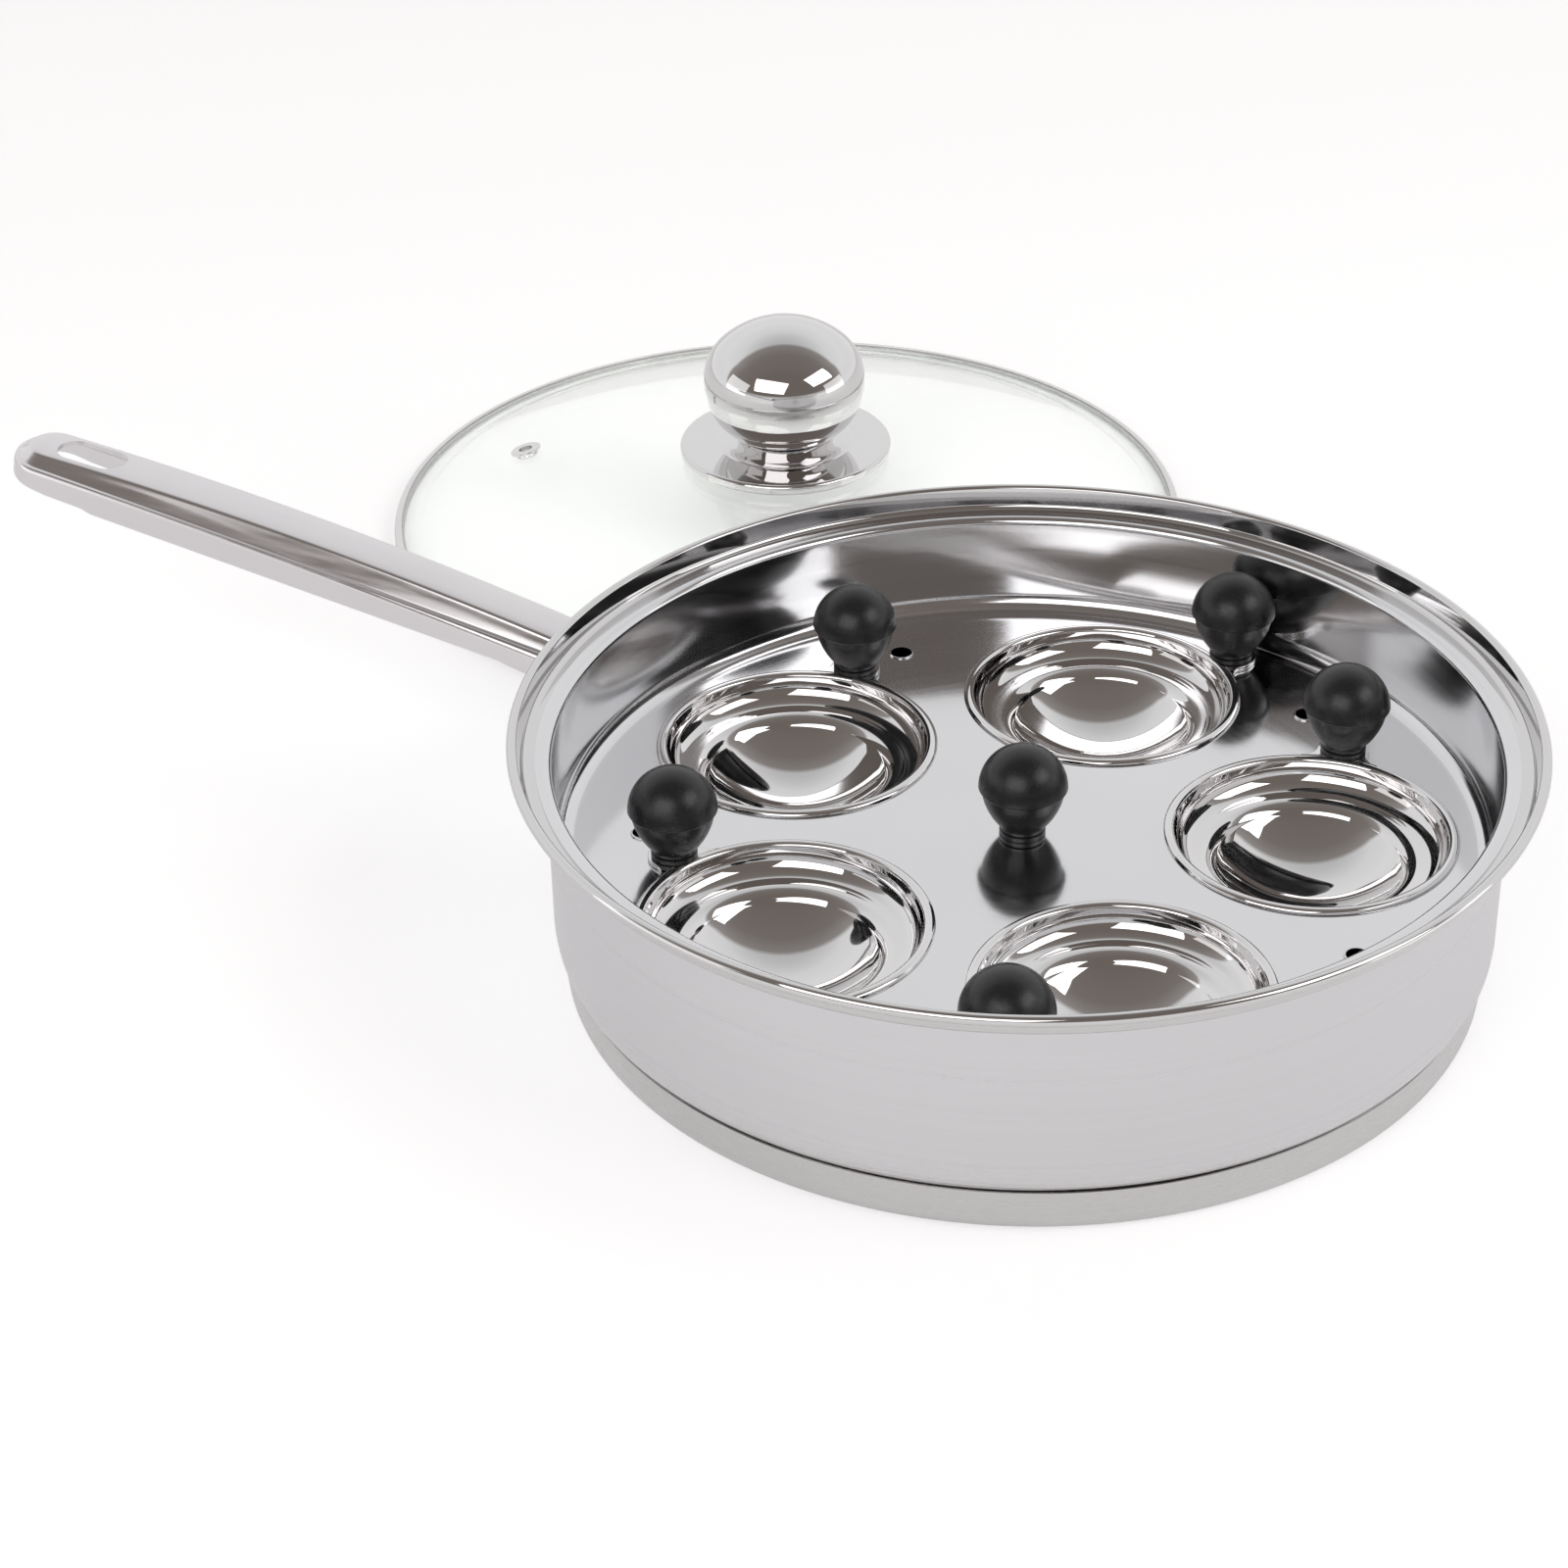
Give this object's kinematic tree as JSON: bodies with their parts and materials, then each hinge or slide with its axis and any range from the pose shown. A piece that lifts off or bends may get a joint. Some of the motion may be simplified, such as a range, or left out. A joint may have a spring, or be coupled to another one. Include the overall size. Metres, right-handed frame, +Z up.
{
  "type": "egg poacher pan",
  "caption": "Stainless steel egg poacher pan: sandwich-base pan with stamped handle, lift-out tray with ball-knob egg cups, and a domed glass lid lying beside it.",
  "frame": {"origin": "centre of the pan's flat base, where it rests on the table", "axes": "+Z up along the pan's axis; the handle points along -X; the lid lies on the table behind the pan, towards -X and +Y"},
  "size_m": [0.4225, 0.4297, 0.0827],
  "materials": {
    "pan_steel": "satin outside with fine lines round the wall, mirror polished inside",
    "base_steel": "satin, brushed round the wall",
    "core_aluminium": "plain, sealed inside the base",
    "handle_steel": "satin on top, half polished sides",
    "tray_steel": "polished",
    "cup_steel": "polished",
    "knob_black": "matte heat-resistant moulding",
    "core_plastic": "plain, sealed inside the knob",
    "lid_glass": "clear",
    "lid_steel": "mirror polished",
    "fastener_steel": "plain bright",
    "seal_rubber": "smooth silicone"
  },
  "bodies": {
    "pan": {"pan_shell": "pan_steel", "base_core": "core_aluminium", "base_cap": "base_steel", "handle": "handle_steel", "handle_bracket": "handle_steel"},
    "tray": {"tray_dish": "tray_steel", "tray_knob": "knob_black", "tray_screw": "fastener_steel", "tray_washer": "fastener_steel"},
    "cup_1": {"egg_cup_1": "cup_steel", "cup_knob_1": "knob_black", "cup_stud_1": "fastener_steel"},
    "cup_2": {"egg_cup_2": "cup_steel", "cup_knob_2": "knob_black", "cup_stud_2": "fastener_steel"},
    "cup_3": {"egg_cup_3": "cup_steel", "cup_knob_3": "knob_black", "cup_stud_3": "fastener_steel"},
    "cup_4": {"egg_cup_4": "cup_steel", "cup_knob_4": "knob_black", "cup_stud_4": "fastener_steel"},
    "cup_5": {"egg_cup_5": "cup_steel", "cup_knob_5": "knob_black", "cup_stud_5": "fastener_steel"},
    "lid": {"lid_glass": "lid_glass", "lid_band": "lid_steel", "lid_seal": "seal_rubber", "lid_eyelet": "lid_steel", "lid_gasket": "seal_rubber", "lid_collar": "lid_steel", "lid_knob_lower": "lid_steel", "lid_knob_ring": "lid_steel", "lid_knob_upper": "lid_steel", "lid_knob_core": "core_plastic", "lid_screw": "fastener_steel", "lid_washer": "fastener_steel", "lid_rubber_washer": "seal_rubber"}
  },
  "joints": [
    {"name": "tray_lift", "type": "slide", "parent": "pan", "child": "tray", "axis": [0, 0, 1], "range_m": [0, 0.12]},
    {"name": "cup_1_lift", "type": "slide", "parent": "tray", "child": "cup_1", "axis": [0, 0, 1], "range_m": [0, 0.1]},
    {"name": "cup_2_lift", "type": "slide", "parent": "tray", "child": "cup_2", "axis": [0, 0, 1], "range_m": [0, 0.1]},
    {"name": "cup_3_lift", "type": "slide", "parent": "tray", "child": "cup_3", "axis": [0, 0, 1], "range_m": [0, 0.1]},
    {"name": "cup_4_lift", "type": "slide", "parent": "tray", "child": "cup_4", "axis": [0, 0, 1], "range_m": [0, 0.1]},
    {"name": "cup_5_lift", "type": "slide", "parent": "tray", "child": "cup_5", "axis": [0, 0, 1], "range_m": [0, 0.1]},
    {"name": "lid_lift", "type": "slide", "parent": "pan", "child": "lid", "axis": [-0.1129, 0.1319, 0.9848], "range_m": [0, 0.12]}
  ]
}
